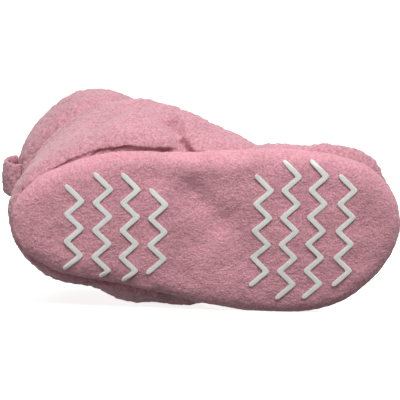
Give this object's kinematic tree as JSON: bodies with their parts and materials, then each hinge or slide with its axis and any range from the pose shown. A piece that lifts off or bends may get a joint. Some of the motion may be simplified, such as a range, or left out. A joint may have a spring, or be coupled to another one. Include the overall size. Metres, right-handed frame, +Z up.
{
  "type": "bootie slipper",
  "caption": "Left padded fleece bootie slipper lying on its outer side, with a turned-down cuff, a back pull loop and raised zigzag grips on its soft sole.",
  "frame": {"origin": "middle of the underside of the lying slipper's bounding box, on the floor", "axes": "+X along the sole from heel to toe; the sole faces -Y and 11 degrees below it; +Z up, towards the inner side of the foot"},
  "size_m": [0.2694, 0.1682, 0.1453],
  "materials": {
    "sole_fleece": "short matt pile, pink, over foam",
    "upper_fleece": "short matt pile, pink",
    "cuff_fleece": "short matt pile, pink",
    "lining": "short matt pile, pale pink",
    "grip_print": "satin greyish white print"
  },
  "bodies": {
    "root": {"outsole": "sole_fleece", "insole": "lining", "upper": "upper_fleece", "cuff": "cuff_fleece", "pull_loop": "cuff_fleece", "heel_grip_1": "grip_print", "heel_grip_2": "grip_print", "heel_grip_3": "grip_print", "heel_grip_4": "grip_print", "ball_grip_1": "grip_print", "ball_grip_2": "grip_print", "ball_grip_3": "grip_print", "ball_grip_4": "grip_print"}
  },
  "joints": []
}
